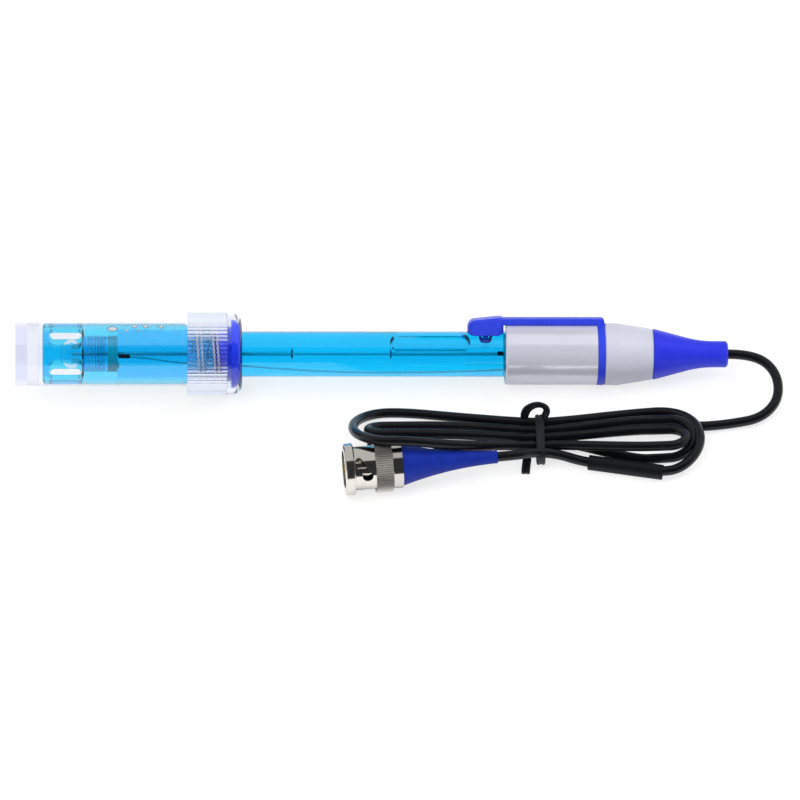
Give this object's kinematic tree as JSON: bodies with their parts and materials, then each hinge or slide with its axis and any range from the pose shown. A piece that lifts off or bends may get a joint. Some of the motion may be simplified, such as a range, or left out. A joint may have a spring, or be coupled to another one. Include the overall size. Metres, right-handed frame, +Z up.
{
  "type": "ph electrode",
  "caption": "Laboratory pH electrode: clear blue tube with guarded glass bulb, wet storage bottle with screw collar, grey cap with filling stopper, cable hank and bayonet plug.",
  "frame": {"origin": "on the floor under the middle of the electrode without its cable", "axes": "+X along the electrode from its tip to its cable end, +Z up"},
  "size_m": [0.2029, 0.0572, 0.0223],
  "materials": {
    "clear_blue": "clear blue polycarbonate",
    "clear_plastic": "clear polystyrene",
    "glass": "clear glass",
    "dark_rubber": "soft dark rubber",
    "ceramic": "porous ceramic",
    "silver": "silver wire, dark at the tip",
    "blue_rubber": "satin blue rubber",
    "pale_bung": "soft translucent silicone",
    "silver_grey": "silver-grey coat",
    "grey_plastic": "satin grey",
    "black_cable": "black vinyl",
    "nickel": "bright nickel plate",
    "gold": "gold plate",
    "white_insulator": "white insulator"
  },
  "bodies": {
    "electrode": {"body_tube": "clear_blue", "sensor_guard": "clear_blue", "glass_stem": "glass", "stem_seal": "dark_rubber", "ceramic_junction": "ceramic", "sensing_wire": "silver", "reference_wire": "silver", "tube_bung": "pale_bung", "cap_sleeve": "silver_grey", "stopper_ring": "blue_rubber", "electrode_cap": "grey_plastic", "strain_relief": "blue_rubber", "cable_lead": "black_cable", "cable_hank": "black_cable", "cable_tail": "black_cable", "cable_tie": "black_cable", "marker_sleeve": "black_cable", "bnc_body": "nickel", "bnc_insulator": "white_insulator", "bnc_centre_pin": "gold", "bnc_face_gasket": "dark_rubber", "bnc_washer": "nickel", "bnc_boot": "blue_rubber"},
    "bottle": {"storage_bottle": "clear_plastic"},
    "gasket": {"collar_gasket": "blue_rubber"},
    "collar": {"bottle_collar": "clear_plastic"},
    "stopper": {"stopper_arm": "blue_rubber"},
    "bayonet": {"bnc_coupling_nut": "nickel"}
  },
  "joints": [
    {"name": "bottle_pull", "type": "slide", "parent": "electrode", "child": "bottle", "axis": [-0.9996, 0, 0.027], "range_m": [0, 0.1]},
    {"name": "gasket_ride", "type": "slide", "parent": "bottle", "child": "gasket", "axis": [0.9996, 0, -0.027], "range_m": [0, 0.005]},
    {"name": "collar_turn", "type": "hinge", "parent": "gasket", "child": "collar", "pos_m": [-0.03998, 0, 0.01104], "axis": [0.9996, 0, -0.027], "range_deg": [0, 360]},
    {"name": "stopper_swing", "type": "hinge", "parent": "electrode", "child": "stopper", "pos_m": [0.05884, 0.00606, 0.01613], "axis": [-0.0166, 0.788, -0.6154], "range_deg": [0, 90]},
    {"name": "bayonet_turn", "type": "hinge", "parent": "electrode", "child": "bayonet", "pos_m": [-0.00332, -0.03906, 0.00685], "axis": [0.9962, 0.0872, 0], "continuous": true}
  ],
  "couplings": [
    {"joint": "gasket_ride", "follows": "collar_turn", "m_per_rad": 0.00079577}
  ]
}
